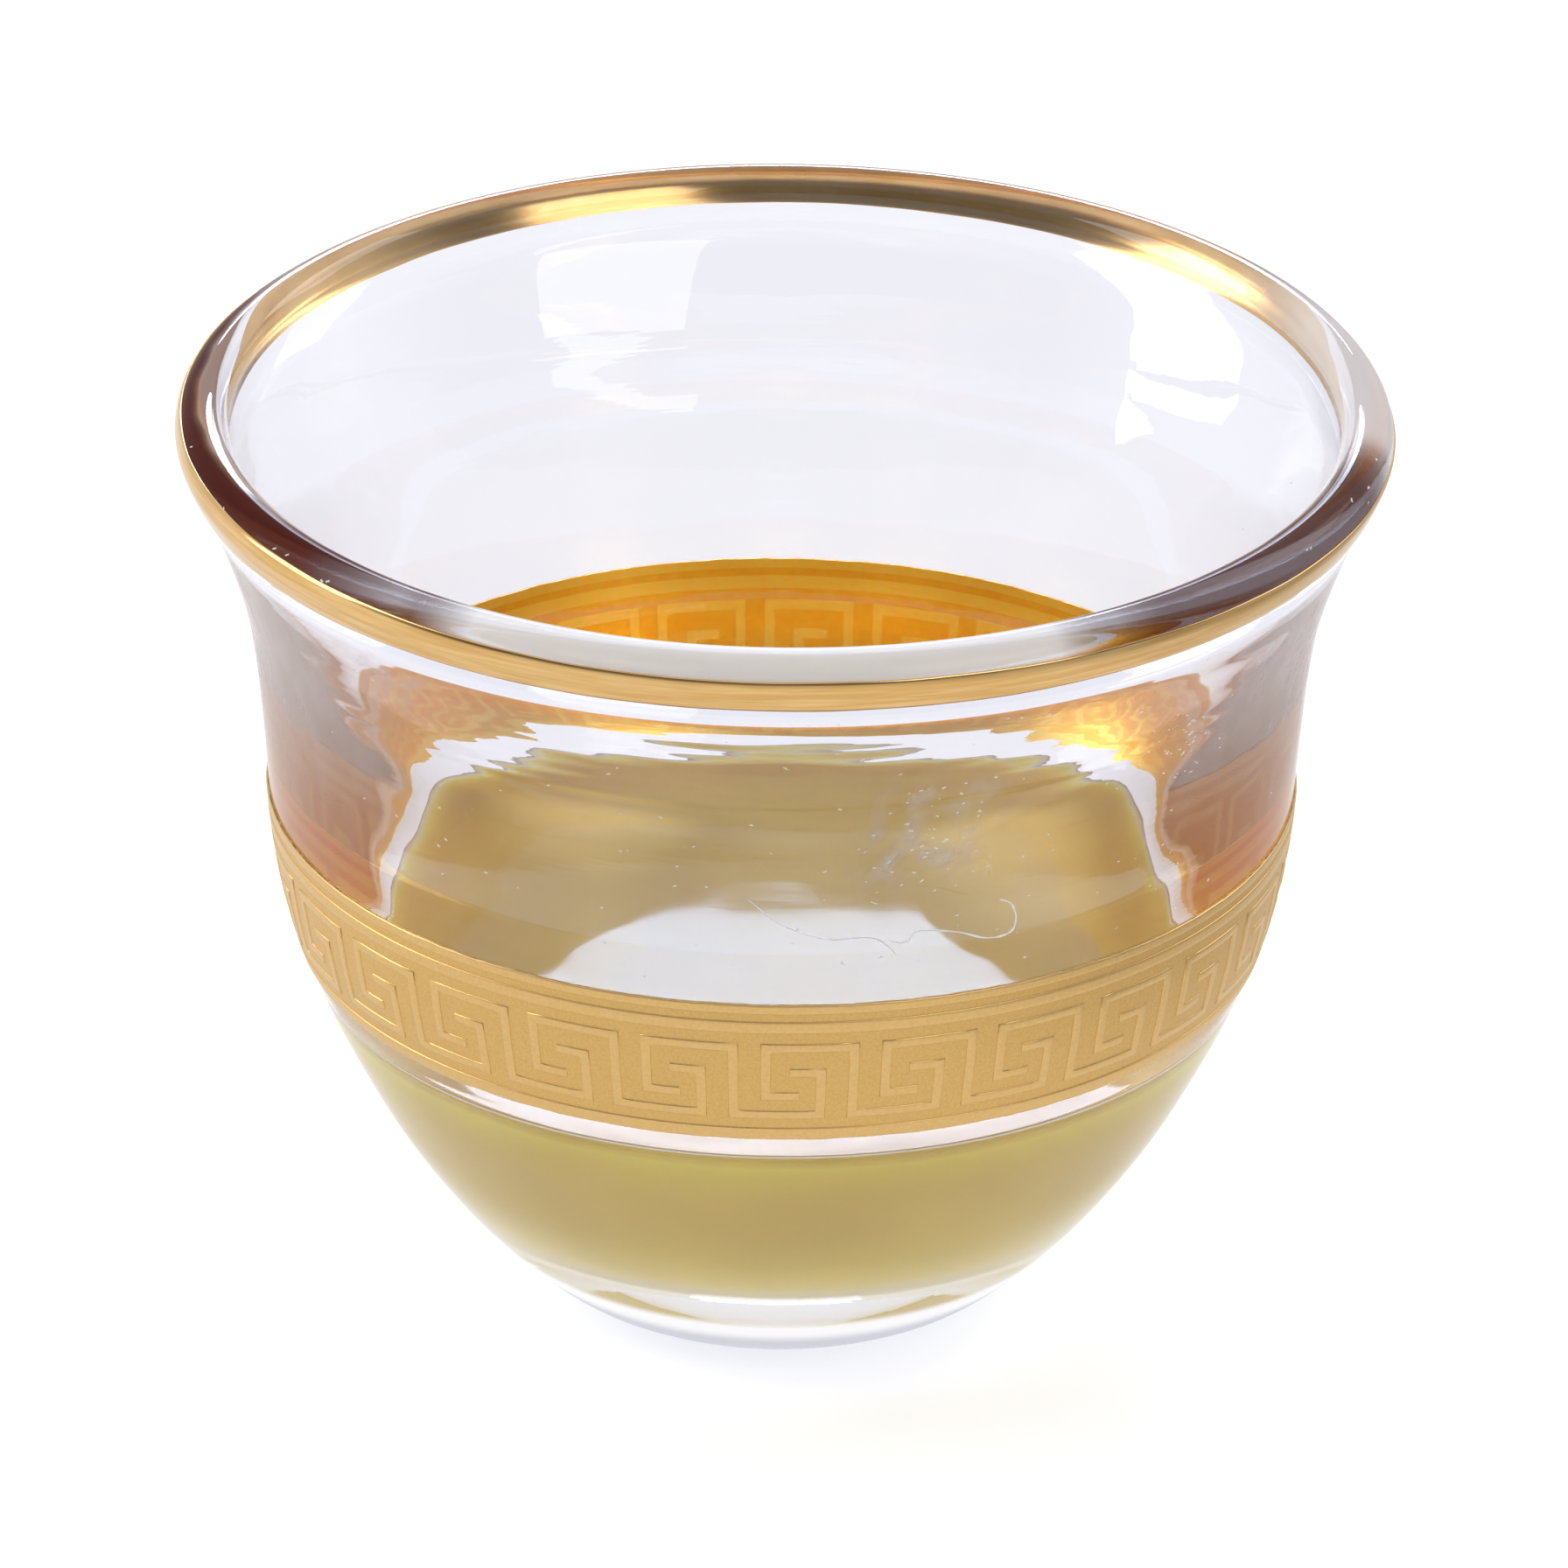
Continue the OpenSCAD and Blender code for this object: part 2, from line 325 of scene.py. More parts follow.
def glassMaterial(look):
    material, tree, shader = startMaterial("sodaLimeGlassFirePolished")
    shader.inputs["Base Color"].default_value = hexToLinear(look["tint"])
    shader.inputs["Roughness"].default_value = 0.0
    shader.inputs["IOR"].default_value = look["ior"]
    shader.inputs["Transmission Weight"].default_value = 1.0
    place = addNode(tree, "ShaderNodeTexCoord")
    height = addNode(tree, "ShaderNodeSeparateXYZ", {}, {"Vector": place.outputs["Object"]})
    stretch = addNode(tree, "ShaderNodeMapping", {"Scale": (0.06, 0.06, 1.0)},
                      {"Vector": place.outputs["Object"]})
    streaks = addNode(tree, "ShaderNodeTexNoise",
                      {"Scale": 1 / (look["streakHeightMm"] * mm), "Detail": 2.0},
                      {"Vector": stretch.outputs["Vector"]})
    ripple = addNode(tree, "ShaderNodeBump",
                     {"Strength": 1.0, "Distance": look["streakDepthMm"] * mm},
                     {"Height": streaks.outputs["Fac"]})
    tree.links.new(ripple.outputs["Normal"], shader.inputs["Normal"])

    # where the gold is seen through the lip's round, its reflection is painted on: a brown tint
    # and an orange sheen
    paintedGoldReflection = addNode(tree, "ShaderNodeAttribute", {"attribute_name": "paintedGoldReflection"})
    paintedReflectionTint = addNode(tree, "ShaderNodeMix",
                    {"data_type": "RGBA", "A": hexToLinear(look["tint"]),
                     "B": hexToLinear(look["paintedGoldReflection"])}, {"Factor": paintedGoldReflection.outputs["Fac"]})
    tree.links.new(paintedReflectionTint.outputs["Result"], shader.inputs["Base Color"])
    sheen = addNode(tree, "ShaderNodeMix",
                    {"data_type": "RGBA", "A": (1.0, 1.0, 1.0, 1.0),
                     "B": hexToLinear(look["paintedGoldReflectionSheen"])}, {"Factor": paintedGoldReflection.outputs["Fac"]})
    tree.links.new(sheen.outputs["Result"], shader.inputs["Specular Tint"])

    # the foot and its edge are ground: a pale haze, with a painted glow that stands in for the
    # white table's light within, greyer low down
    ground = addNode(tree, "ShaderNodeMapRange",
                     {"From Min": look["hazeEndMm"][0] * mm, "From Max": look["hazeEndMm"][1] * mm,
                      "To Min": look["haze"], "To Max": 0.0, "interpolation_type": "SMOOTHSTEP"},
                     {"Value": height.outputs["Z"]})
    footTone = addNode(tree, "ShaderNodeMapRange",
                       {"From Min": look["hazeGlowMm"][0] * mm,
                        "From Max": look["hazeGlowMm"][1] * mm,
                        "interpolation_type": "SMOOTHSTEP"}, {"Value": height.outputs["Z"]})
    footColour = addNode(tree, "ShaderNodeMix",
                         {"data_type": "RGBA", "A": hexToLinear(look["hazeGlow"][0]),
                          "B": hexToLinear(look["hazeGlow"][1])},
                         {"Factor": footTone.outputs["Result"]})
    glow = addNode(tree, "ShaderNodeEmission", {"Strength": 1.14},
                   {"Color": footColour.outputs["Result"]})
    paleGround = addNode(tree, "ShaderNodeBsdfDiffuse", {"Color": hexToLinear(look["hazeColour"])})
    haze = addNode(tree, "ShaderNodeMixShader", {0: 0.82},
                   {1: paleGround.outputs["BSDF"], 2: glow.outputs["Emission"]})
    footMix = addNode(tree, "ShaderNodeMixShader", {},
                      {0: ground.outputs["Result"], 1: shader.outputs["BSDF"],
                       2: haze.outputs["Shader"]})

    # a thin layer: grey on the wall and in the smears, and painted light on the lip, white on its
    # front and right and brown beside the gold
    layeredShare = addNode(tree, "ShaderNodeAttribute", {"attribute_name": "layerWithPaintedLight"})
    inLip = addNode(tree, "ShaderNodeMapRange",
                    {"From Min": look["lipMm"][0] * mm, "From Max": look["lipMm"][1] * mm,
                     "interpolation_type": "SMOOTHSTEP"}, {"Value": height.outputs["Z"]})
    layerTone = addNode(tree, "ShaderNodeMix",
                       {"data_type": "RGBA", "A": hexToLinear(look["layerWithPaintedLight"]),
                        "B": hexToLinear(look["paintedLipWhite"])}, {"Factor": inLip.outputs["Result"]})
    covered = addNode(tree, "ShaderNodeMath",
                      {"operation": "MULTIPLY", 1: 2.0, "use_clamp": True},
                      {0: paintedGoldReflection.outputs["Fac"]})
    layerColour = addNode(tree, "ShaderNodeMix",
                         {"data_type": "RGBA", "B": hexToLinear(look["paintedGoldReflectionBody"])},
                         {"Factor": covered.outputs["Value"], "A": layerTone.outputs["Result"]})
    layerFront = addNode(tree, "ShaderNodeBsdfDiffuse", {}, {"Color": layerColour.outputs["Result"]})
    layerThrough = addNode(tree, "ShaderNodeBsdfTranslucent", {},
                          {"Color": layerColour.outputs["Result"]})
    layerWithPaintedLight = addNode(tree, "ShaderNodeMixShader", {0: 0.35},
                   {1: layerFront.outputs["BSDF"], 2: layerThrough.outputs["BSDF"]})
    layerMix = addNode(tree, "ShaderNodeMixShader", {},
                      {0: layeredShare.outputs["Fac"], 1: footMix.outputs["Shader"],
                       2: layerWithPaintedLight.outputs["Shader"]})

    # light caught in the wall goes round it many times: past the fourth inner reflection,
    # where the render would stop in black, it carries the warm light that gathers there
    path = addNode(tree, "ShaderNodeLightPath")
    caught = addNode(tree, "ShaderNodeMath", {"operation": "GREATER_THAN", 1: 3.5},
                     {0: path.outputs["Glossy Depth"]})
    late = addNode(tree, "ShaderNodeMath", {"operation": "GREATER_THAN", 1: 11.5},
                   {0: path.outputs["Ray Depth"]})
    either = addNode(tree, "ShaderNodeMath", {"operation": "MAXIMUM"},
                     {0: caught.outputs["Value"], 1: late.outputs["Value"]})
    warmth = addNode(tree, "ShaderNodeMix",
                     {"data_type": "RGBA", "A": hexToLinear(look["gathered"]),
                      "B": hexToLinear(look["gatheredInLip"])},
                     {"Factor": inLip.outputs["Result"]})
    gathered = addNode(tree, "ShaderNodeEmission", {}, {"Color": warmth.outputs["Result"]})
    glassMix = addNode(tree, "ShaderNodeMixShader", {},
                       {0: either.outputs["Value"], 1: layerMix.outputs["Shader"],
                        2: gathered.outputs["Emission"]})
    tree.links.new(glassMix.outputs["Shader"], tree.nodes["Material Output"].inputs["Surface"])
    return material


print("Coffee cup: glass body")
clearGlass = glassMaterial(glassLook)
hollowRadius = cup["hollowDiameter"] / 2
hollowBall = (hollowRadius ** 2 + cup["hollowDepth"] ** 2) / (2 * cup["hollowDepth"])


def hollowHeight(radius):
    return cup["hollowDepth"] - hollowBall + math.sqrt(hollowBall ** 2 - radius ** 2)


# from the middle of the hollow out over the flat ring, up the side, over the lip and down inside
glassOutline = [(r, hollowHeight(r)) for r in rowsBetween(0.0, hollowRadius, 8)]
glassOutline += [(8.6, 0.0), (outerRadius(0) - cup["footEdge"], 0.0),
                 (outerRadius(0) - cup["footEdge"] * 0.3, 0.03), (outerRadius(0.12) + 0.02, 0.14)]
glassOutline += [(outerRadius(z), z) for z in rowsBetween(0.4, wallTop, 110)]
glassOutline += [lipPoint(a) for a in rowsBetween(-cup["outerBlend"], 165, 34)[1:]]
insideStart = len(glassOutline)
glassOutline += [(r, z) for z, r in insideCurve[1:]]


def waveInside(i, angle, radius, height):
    if i >= insideStart and radius > 0.5:
        radius += insideWave(angle, height)
    return radius, height


points, faces = lathe(glassOutline, False, cup["segments"], waveInside)
glassCup = meshPiece("glassCup", points, faces, [clearGlass], "glass_body")

# painted reflection of the gold in the lip, in degrees from the front on each side; beside and
# over are how far round the lip it reaches, in degrees, where it only edges the gold and where it
# covers the lip
paintedGoldReflectionLay = {
    "left": {"starts": (30, 52), "ends": (108, 124), "strength": 1.0, "beside": 84, "over": 130},
    "right": {"starts": (26, 38), "ends": (72, 82), "strength": 0.62, "beside": 128, "over": 128},
    "raggedBy": 9,
    "raggedMm": 3.0,
}
# smears, grey and painted light: each place as (starts, full from, full to, ends), degrees or
# height in mm
layerWithPaintedLightLay = {
    # painted light on the lip: its front and right drawn pale, and brown beside the gold
    "lipFront": (-46, -34, 27, 37), "lipFrontShare": 0.78,
    "lipRight": (74, 84, 110, 128), "lipRightShare": 0.6,
    "underPaintedGoldReflection": 0.7,
    "lipFromMm": 48.5,
    "sides": (34, 62, 84, 98), "sideHeights": (30.5, 37, 44, 48),
    "sideShares": (0.14, 0.52),  # everywhere there, and more where it is cloudy
    # dried smears on the front wall, right of the middle and far left: (degrees, heights)
    "smears": [((6.5, 10.5, 20.5, 24.5), (35.5, 37, 41, 42.5)),
               ((-50, -46, -40, -36), (43, 44, 46, 47))],
    "smearShare": 0.7,
}


# how much painted reflection of the gold the lip shows here
def paintedGoldReflectionShare(x, y, z):
    radius = math.hypot(x, y)
    way = math.degrees(math.atan2(x, -y))
    rise = math.degrees(math.atan2(z - lipHeight, radius - lipAxis))
    if radius < 28.5 or rise < -25 or rise > 160:
        return 0.0
    lay = paintedGoldReflectionLay["left" if way < 0 else "right"]
    turn = abs(way)
    reach = lay["beside"] + (lay["over"] - lay["beside"]) * falling(turn, 45, 85)
    reach += paintedGoldReflectionLay["raggedBy"] * noise.noise(Vector((x, y, z)) / paintedGoldReflectionLay["raggedMm"])
    strength = lay["strength"] * rising(turn, *lay["starts"]) * falling(turn, *lay["ends"])
    strength *= rising(reach - rise, 0, 22)
    return 1 - (1 - 0.97 * strength) ** 2


# how much of the layer lies here: painted light on the lip, smears and grey on the wall
def layerWithPaintedLightShare(x, y, z):
    way = math.degrees(math.atan2(x, -y))
    if z > layerWithPaintedLightLay["lipFromMm"]:
        return max(layerWithPaintedLightLay["lipFrontShare"] * between(way, layerWithPaintedLightLay["lipFront"]),
                   layerWithPaintedLightLay["lipRightShare"] * between(way, layerWithPaintedLightLay["lipRight"]),
                   layerWithPaintedLightLay["underPaintedGoldReflection"] * paintedGoldReflectionShare(x, y, z))
    smears = sum(between(way, degrees) * between(z, heights)
                 for degrees, heights in layerWithPaintedLightLay["smears"])
    if smears > 0:
        spots = noise.noise(Vector((x, y, z)) * 0.8) + 0.6 * noise.noise(Vector((x, y, z)) * 1.9)
        return layerWithPaintedLightLay["smearShare"] * smears * rising(spots, -0.12, 0.88)
    cloud = rising(0.9 * noise.noise(Vector((x * 0.35, y * 0.35, z * 0.16))), -0.5, 0.5)
    run = rising(0.8 * noise.noise(Vector((x + z * 0.5, y, z * 0.3 + 9))), -0.5, 0.5)
    even, cloudy = layerWithPaintedLightLay["sideShares"]
    return (between(abs(way), layerWithPaintedLightLay["sides"]) * between(z, layerWithPaintedLightLay["sideHeights"])
            * (even + cloudy * cloud * run))


paintedGoldReflection = glassCup.data.attributes.new("paintedGoldReflection", "FLOAT", "POINT")
layerWithPaintedLight = glassCup.data.attributes.new("layerWithPaintedLight", "FLOAT", "POINT")
for i, point in enumerate(glassCup.data.vertices):
    x, y, z = [c / mm for c in point.co]
    paintedGoldReflection.data[i].value = paintedGoldReflectionShare(x, y, z)
    if z > 49.6 or math.hypot(x, y) > outerRadius(z) - 0.3:      # the outside and the lip only
        layerWithPaintedLight.data[i].value = layerWithPaintedLightShare(x, y, z)


print("Coffee cup: marks on the glass")
# the fine shear mark on the front, and tiny nicks and seeds that catch the light
marks = {
    # (degrees from the front, height in mm) along the two lines of the shear mark
    "shear": [(-3.5, 35.5), (0.1, 34.0), (4.9, 33.1), (7.6, 33.1), (10.2, 33.0), (11.8, 32.4),
              (12.6, 31.9)],
    "shearRight": [(11.9, 32.75), (13.8, 32.65), (14.8, 33.2), (19.0, 32.9), (22.8, 32.2),
                   (25.5, 32.3), (26.1, 33.1), (25.4, 34.0), (24.0, 34.4)],
    "radiusMm": 0.036,
    "nicks": 210,
    "nickMm": (0.03, 0.07),
    # where nicks lie: (middle and spread in degrees, lowest and highest in mm)
    "wall": ((12, 34), (30.2, 47.0)),
    "rightWall": ((47, 2.5), (38.5, 43.5)),
    "inSmear": ((15.5, 5), (35.5, 42.0)),
    "lipSides": (-58, 66),
    "lip": ((0, 9), (50.0, 50.85)),
}
mmPerDegree = 0.47               # round the wall at the marks' height
# Frosted break in glass: pale and matt, so that it shows as a light speck
paleNick, tree, shader = startMaterial("frostedNick")
shader.inputs["Base Color"].default_value = hexToLinear("#f4f2ee")
shader.inputs["Roughness"].default_value = 0.35


# a thin six-sided line along the path on the outside, uneven in width
def markTube(path, thickness, points, faces):
    curve = smoothCurve(path, cup["curveSteps"])
    for k, (turn, z) in enumerate(curve):
        width = thickness * (0.5 + 1.44 * abs(noise.noise(Vector((k * 0.31, turn * 0.2, 2.0)))))
        if k in (0, len(curve) - 1):
            width *= 0.2
        before, after = curve[max(k - 1, 0)], curve[min(k + 1, len(curve) - 1)]
        along = Vector(((after[0] - before[0]) * mmPerDegree, after[1] - before[1])).normalized()
        for side in range(6):
            a = math.radians(60 * side)
            across = Vector((-along.y, along.x)) * width * math.cos(a)
            radius, top = skinPoint(z + across.y, width * math.sin(a) * 0.8)
            x, y = onCircle(radius, turn + math.degrees(across.x / radius))
            points.append((x, y, top))
    start = len(points) - 6 * len(curve)
    for k in range(len(curve) - 1):
        for side in range(6):
            after = (side + 1) % 6
            faces.append([start + 6 * k + side, start + 6 * k + after,
                          start + 6 * k + 6 + after, start + 6 * k + 6 + side])
    faces.append([start + side for side in range(6)][::-1])
    faces.append([start + 6 * (len(curve) - 1) + side for side in range(6)])


points, faces = [], []
markTube(marks["shear"], marks["radiusMm"], points, faces)
markTube(marks["shearRight"], marks["radiusMm"] * 1.5, points, faces)
chance = random.Random(11)


def nickPlace(where):
    return chance.gauss(*where[0]), chance.uniform(*where[1])


for k in range(marks["nicks"]):
    turn, z = nickPlace(marks["wall"])
    if k % 5 == 0:
        turn, z = nickPlace(marks["rightWall"])
    elif k % 5 == 1:
        turn, z = nickPlace(marks["inSmear"])
    elif k % 7 == 0:
        side = chance.choice(marks["lipSides"])
        turn, z = nickPlace(marks["lip"])
        turn += side
    size = chance.uniform(*marks["nickMm"])
    slope = chance.uniform(-1.0, 1.0) * size
    reach = 1.5 * size * 2.1     # half its length, in degrees
    markTube([(turn - reach, z - slope), (turn, z + slope * 0.3), (turn + reach, z + slope)],
             size * 0.7, points, faces)
meshPiece("surfaceMarks", points, faces, [paleNick])


def goldMaterial(name, look):
    material, tree, shader = startMaterial(name)
    shader.inputs["Metallic"].default_value = 1.0
    shader.inputs["Roughness"].default_value = look["roughness"]
    if "passedRound" in look:    # light that reaches this gold round the wall
        shader.inputs["Emission Color"].default_value = hexToLinear(look["passedRound"][0])
        shader.inputs["Emission Strength"].default_value = look["passedRound"][1]
    place = addNode(tree, "ShaderNodeTexCoord")
    drawn = addNode(tree, "ShaderNodeMapping", {"Scale": look.get("drawn", (1.0, 1.0, 1.0))},
                    {"Vector": place.outputs["Object"]})
    grain = addNode(tree, "ShaderNodeTexNoise",
                    {"Scale": 1 / (look["grainMm"] * mm), "Detail": 3.0, "Roughness": 0.6},
                    {"Vector": drawn.outputs["Vector"]})
    tone = addNode(tree, "ShaderNodeMapRange",
                   {"From Min": 0.38, "From Max": 0.62}, {"Value": grain.outputs["Fac"]})
    colour = addNode(tree, "ShaderNodeMix",
                     {"data_type": "RGBA", "A": hexToLinear(look["dark"]),
                      "B": hexToLinear(look["colour"])},
                     {"Factor": tone.outputs["Result"]})
    tree.links.new(colour.outputs["Result"], shader.inputs["Base Color"])
    bump = addNode(tree, "ShaderNodeBump",
                   {"Strength": 1.0, "Distance": look["grainDepthMm"] * mm},
                   {"Height": grain.outputs["Fac"]})
    tree.links.new(bump.outputs["Normal"], shader.inputs["Normal"])
    return material


print("Coffee cup: gilding")
# Liquid gold over screen-printed relief paste, fired matt: soft glow and the paste's fine
# stipple, drawn a little coarser than it is so that it shows
mattLook = {"colour": "#dcb673", "dark": "#d4ac68", "roughness": 0.42, "grainMm": 0.14,
            "grainDepthMm": 0.002}
mattGold = goldMaterial("mattFiredGold", mattLook)

# The same gold over a smooth line of paste: a little brighter and cleaner
satinLook = {"colour": "#e0bb7b", "dark": "#dab474", "roughness": 0.34, "grainMm": 0.2,
             "grainDepthMm": 0.002}
satinGold = goldMaterial("satinFiredGold", satinLook)

# Bright gold brushed on the lip while it turned: mirror-like, streaked round the cup
brightLook = {"colour": "#e6c084", "dark": "#d6ab6a", "roughness": 0.13, "grainMm": 0.35,
              "grainDepthMm": 0.001, "drawn": (0.05, 0.05, 1.0)}
brightGold = goldMaterial("brightGoldBrushedOn", brightLook)

# Fired gold seen from its glass side: deeper and more orange, as smooth as the glass
innerLook = {"colour": "#ffc83e", "dark": "#fcbc30", "roughness": 0.25, "grainMm": 0.5,
             "grainDepthMm": 0.0005, "passedRound": ("#ffa63c", 0.08)}
glassSideGold = goldMaterial("firedGoldGlassSide", innerLook)
innerLineLook = {"colour": "#ffdc6c", "dark": "#ffd45c", "roughness": 0.25, "grainMm": 0.5,
                 "grainDepthMm": 0.0005, "passedRound": ("#ffb450", 0.11)}
glassSideLine = goldMaterial("firedGoldLineGlassSide", innerLineLook)

rim = {
    "bottom": 48.0, "lessAtBack": 0.65,
    "climb": 10.0, "climbLeft": 26.0, "climbRight": -12.0,      # degrees up the lip's round
    "climbUneven": 1.6, "edgeUneven": 0.05,
    "thickness": 0.1, "embed": 0.04,
    "rows": 16, "onWall": 0.45,  # rows up the outside, and the share of them below the lip
}


def rimSkin(share, angle, out):
    # the brush climbed further up the lip on the left than on the right
    side, back = math.sin(math.radians(angle)), math.cos(math.radians(angle))
    climb = rim["climb"] + side * side * (rim["climbLeft"] if side < 0 else rim["climbRight"])
    climb += rim["climbUneven"] * noise.noise(Vector((back * 7, side * 7, 3.0)))
    low = rim["bottom"] + rim["lessAtBack"] * ((1 - back) / 2) ** 2
    if share < rim["onWall"]:
        z = low + (wallTop - low) * share / rim["onWall"]
        z += (rim["edgeUneven"] * noise.noise(Vector((back * 9, side * 9, 8.0)))
              * (1 - share / rim["onWall"]))
        return skinPoint(z, out)
    onLip = (share - rim["onWall"]) / (1 - rim["onWall"])
    return lipPoint(-cup["outerBlend"] + (climb + cup["outerBlend"]) * onLip, out)


# the layer's cross-section: (share of the way up, height over the glass)
rimSection = [(k / rim["rows"], -rim["embed"]) for k in range(rim["rows"] + 1)]
rimSection += [(1.0, rim["thickness"] * 0.5), (0.99, rim["thickness"] * 0.85)]
rimSection += [(k / rim["rows"], rim["thickness"]) for k in range(rim["rows"] - 1, 0, -1)]
rimSection += [(0.01, rim["thickness"] * 0.85), (0.0, rim["thickness"] * 0.5)]


def rimShift(i, angle, radius, height):
    return rimSkin(rimSection[i][0], angle, rimSection[i][1])


points, faces = lathe(rimSection, True, cup["segments"], rimShift)
meshPiece("rimGilding", points, faces, [brightGold], "rim_gilding", sharpFrom=60)

band = {
    "bottom": 20.6, "height": 8.6, "thickness": 0.1, "relief": 0.05,
    "edgeLine": 0.55, "gap": 0.45, "upperLine": 0.7, "lowerLine": 0.8,
    # how far each layer's inner face sits in the glass, so that no thin air shows between them
    "embed": 0.04, "lineEmbed": 0.046,
    "bevel": 0.05, "groundBevel": 0.03,
}
bandTop = band["bottom"] + band["height"]
upperTop = bandTop - band["edgeLine"] - band["gap"]
upperBottom = upperTop - band["upperLine"]
lowerTop = band["bottom"] + band["lowerLine"]
lineOut = band["thickness"] + band["relief"]


# the printed edges of the paste aren't quite even
def raggedEdge(i, angle, radius, height):
    x, y = onCircle(24.0, angle)
    if height > bandTop - 0.12:
        height += 0.05 * noise.noise(Vector((x, y, 1.0)) * 1.1) - 0.02
    elif height < band["bottom"] + 0.12:
        height += 0.04 * noise.noise(Vector((x, y, 5.0)) * 0.9) + 0.02
    return radius, height


# a gold layer that follows the glass over these heights, its outer edges rounded
def goldRing(name, heights, embed, out, bevel, materials, node, edge=None):
    low, high = heights[0], heights[-1]
    outline = [skinPoint(z, -embed) for z in heights]
    outline.append(skinPoint(high, out - bevel))
    outline.append(skinPoint(high - bevel * 0.3, out - bevel * 0.3))
    outline.append(skinPoint(high - bevel, out))
    for z in heights[::-1]:
        if low + bevel * 1.2 < z < high - bevel * 1.2:
            outline.append(skinPoint(z, out))
    outline.append(skinPoint(low + bevel, out))
    outline.append(skinPoint(low + bevel * 0.3, out - bevel * 0.3))
    outline.append(skinPoint(low, out - bevel))
    points, faces = lathe(outline, True, cup["segments"], edge)
    goldFromInside(meshPiece(name, points, faces, materials, node, sharpFrom=50), -0.3)


def bandLine(name, low, high, node, edge=None):
    goldRing(name, rowsBetween(low, high, 3), band["lineEmbed"], lineOut, band["bevel"],
             [satinGold, glassSideLine], node, edge)


goldRing("bandGround", rowsBetween(band["bottom"], bandTop, 24), band["embed"],
         band["thickness"], band["groundBevel"], [mattGold, glassSideGold], "band_ground",
         raggedEdge)
bandLine("bandEdgeLine", bandTop - band["edgeLine"], bandTop, "upper_border_lines", raggedEdge)
bandLine("bandUpperLine", upperBottom, upperTop, "upper_border_lines")
bandLine("bandLowerLine", band["bottom"], lowerTop, "lower_border_line", raggedEdge)


print("Coffee cup: key meander")
keys = {
    "count": 27, "firstAngle": -5.0, "line": 0.54, "clearance": 0.65, "bevel": 0.06,
    "inset": 0.25,               # from the clearance to the middle of the outer lines
    # corners of one key's line: (share of the pitch round the cup, share of the height)
    "path": [(0.51, 0.64), (0.73, 0.64), (0.73, 0.0), (0.0, 0.0), (0.0, 1.0), (-0.73, 1.0),
             (-0.73, 0.29), (-0.49, 0.29)],
    "stepMm": 0.8,
}
keyTop = upperBottom - keys["clearance"]
keyBottom = lowerTop + keys["clearance"]
keyPitch = 360 / keys["count"]
keyLow = keyBottom + keys["inset"]
keySpan = keyTop - keyBottom - 2 * keys["inset"]


# works on the unrolled band: (mm round the cup at mid height, height)
def keyPoints(middleAngle):
    middle = outerRadius((keyLow + keyTop) / 2)
    corners = [Vector((math.radians(u * keyPitch) * middle, keyLow + v * keySpan))
               for u, v in keys["path"]]
    half, bevel = keys["line"] / 2, keys["bevel"]
    # cross-section from one foot over the top to the other: (across, height over the glass)
    section = [(-half, -band["lineEmbed"]), (-half, lineOut - bevel),
               (-half + bevel * 0.3, lineOut - bevel * 0.3), (-half + bevel, lineOut),
               (half - bevel, lineOut), (half - bevel * 0.3, lineOut - bevel * 0.3),
               (half, lineOut - bevel), (half, -band["lineEmbed"])]
    ends = ((half, bevel), (half - bevel * 0.3, bevel * 0.3), (half - bevel, 0.0))
    stations = []                # (point, across direction, drop of the top)
    for i, here in enumerate(corners):
        into = (here - corners[i - 1]).normalized() if i else None
        out = (corners[i + 1] - here).normalized() if i < len(corners) - 1 else None
        sideIn = Vector((-into.y, into.x)) if into else None
        sideOut = Vector((-out.y, out.x)) if out else None
        if into is None:
            stations += [(here - out * back, sideOut, drop) for back, drop in ends]
        elif out is None:
            stations += [(here + into * back, sideIn, drop) for back, drop in ends[::-1]]
        else:
            stations.append((here, sideIn + sideOut, 0.0))
        if out:
            length = (corners[i + 1] - here).length
            parts = max(1, round(length / keys["stepMm"]))
            stations += [(here + out * (length * k / parts), sideOut, 0.0)
                         for k in range(1, parts)]
    made = []
    for spot, side, drop in stations:
        for across, height in section:
            s, z = spot + side * across
            top = min(height, lineOut - drop) if height > 0 else height
            radius, level = skinPoint(z, top)
            x, y = onCircle(radius, middleAngle + math.degrees(s / middle))
            made.append((x, y, level))
    return made, len(stations), len(section)


points, faces = [], []
for k in range(keys["count"]):
    made, rows, wide = keyPoints(keys["firstAngle"] + k * keyPitch)
    start = len(points)
    points += made
    for i in range(rows - 1):
        for j in range(wide):
            after = (j + 1) % wide
            faces.append([start + i * wide + j, start + i * wide + after,
                          start + (i + 1) * wide + after, start + (i + 1) * wide + j])
    faces.append([start + j for j in range(wide)][::-1])
    faces.append([start + (rows - 1) * wide + j for j in range(wide)])
keyMeander = meshPiece("keyMeander", points, faces, [satinGold, glassSideLine], "key_meander",
                       sharpFrom=50)
goldFromInside(keyMeander, -0.5)


print("Coffee cup: coffee")
coffee = {
    "level": 18.65,
    "overlap": 0.04,             # into the glass, so that no air shows between them
    "meniscus": 0.35, "meniscusRun": 1.2, "meniscusRows": 8,
    "colour": "#ccae56", "atGlass": "#eed974", "deeper": "#a88a3a", "pale": "#f4dc8c",
    "cloudMm": 9.0,
    "palePatches": [(-11.5, 7.5), (13.5, 5.5)],
    "patchMm": (1.5, 8.0),
    "ior": 1.333, "roughness": 0.05, "scatterMm": 8.0,
}


